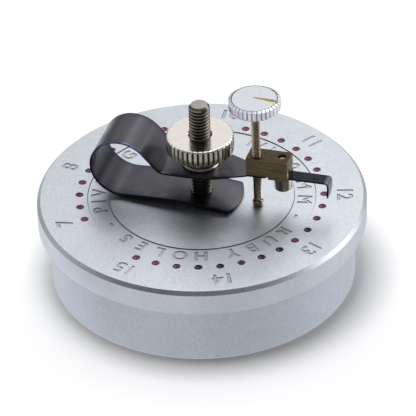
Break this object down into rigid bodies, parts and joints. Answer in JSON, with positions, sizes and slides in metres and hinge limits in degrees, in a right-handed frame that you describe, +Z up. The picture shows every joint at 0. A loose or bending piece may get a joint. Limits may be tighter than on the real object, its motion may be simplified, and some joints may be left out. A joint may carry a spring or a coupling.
{
  "type": "pivot gauge",
  "caption": "Watchmaker's pivot gauge: a round metal base with a ring of graded hole jewels, a looped spring arm on a threaded post, a knurled nut and a pointer screw.",
  "frame": {"origin": "centre of the face that the base stands on", "axes": "+Z up along the post, +X along the holding arm from the post to its tip at rest"},
  "size_m": [0.062, 0.062, 0.0407],
  "materials": {
    "aluminium": "fine turned satin, natural",
    "ruby": "polished synthetic ruby, dark set",
    "dark_steel": "dark oiled machined steel",
    "spring_steel": "blackened spring steel, satin",
    "brass": "aged brass, filed faces",
    "nickel": "polished nickel plate",
    "gilt": "gold lacquer fill"
  },
  "bodies": {
    "base": {"base_body": "aluminium", "jewel_01": "ruby", "jewel_02": "ruby", "jewel_03": "ruby", "jewel_04": "ruby", "jewel_05": "ruby", "jewel_06": "ruby", "jewel_07": "ruby", "jewel_08": "ruby", "jewel_09": "ruby", "jewel_10": "ruby", "jewel_11": "ruby", "jewel_12": "ruby", "jewel_13": "ruby", "jewel_14": "ruby", "jewel_15": "ruby", "jewel_16": "ruby", "jewel_17": "ruby", "jewel_18": "ruby", "jewel_19": "ruby", "jewel_20": "ruby", "jewel_21": "ruby", "jewel_22": "ruby", "jewel_23": "ruby", "jewel_24": "ruby", "jewel_25": "ruby", "jewel_26": "ruby", "jewel_27": "ruby", "jewel_28": "ruby", "jewel_29": "ruby", "jewel_30": "ruby", "jewel_31": "ruby", "jewel_32": "ruby", "jewel_33": "ruby", "stud": "dark_steel"},
    "holder": {"spring_leg": "spring_steel"},
    "arm": {"spring_arm": "spring_steel", "block": "brass", "fixing_screw": "nickel"},
    "foot": {"screw_foot": "nickel"},
    "pointer": {"pointer_rod": "nickel", "pointer_knob": "nickel", "knob_pointer": "gilt"},
    "washer": {"washer": "nickel"},
    "nut": {"knurled_nut": "nickel"}
  },
  "joints": [
    {"name": "holder_swivel", "type": "hinge", "parent": "base", "child": "holder", "pos_m": [0, 0, 0.0168], "axis": [0, 0, 1], "continuous": true},
    {"name": "washer_lift", "type": "slide", "parent": "base", "child": "washer", "axis": [0, 0, 1], "range_m": [0, 0.0021]},
    {"name": "nut_turn", "type": "hinge", "parent": "washer", "child": "nut", "pos_m": [0, 0, 0.0276], "axis": [0, 0, 1], "range_deg": [0, 1080]},
    {"name": "arm_flex", "type": "hinge", "parent": "holder", "child": "arm", "pos_m": [-0.0142, 0, 0.0233], "axis": [0, -1, 0], "range_deg": [0, 6.85]},
    {"name": "foot_travel", "type": "slide", "parent": "arm", "child": "foot", "axis": [-0.0157, 0, 0.9999], "range_m": [0, 0.0028]},
    {"name": "pointer_turn", "type": "hinge", "parent": "foot", "child": "pointer", "pos_m": [0.01108, -0.0004, 0.02417], "axis": [-0.0157, 0, 0.9999], "range_deg": [0, 2880]}
  ],
  "couplings": [
    {"joint": "washer_lift", "follows": "nut_turn", "m_per_rad": 0.00011141},
    {"joint": "arm_flex", "follows": "nut_turn", "ratio": 0.0062943},
    {"joint": "foot_travel", "follows": "pointer_turn", "m_per_rad": 0.000055704}
  ]
}
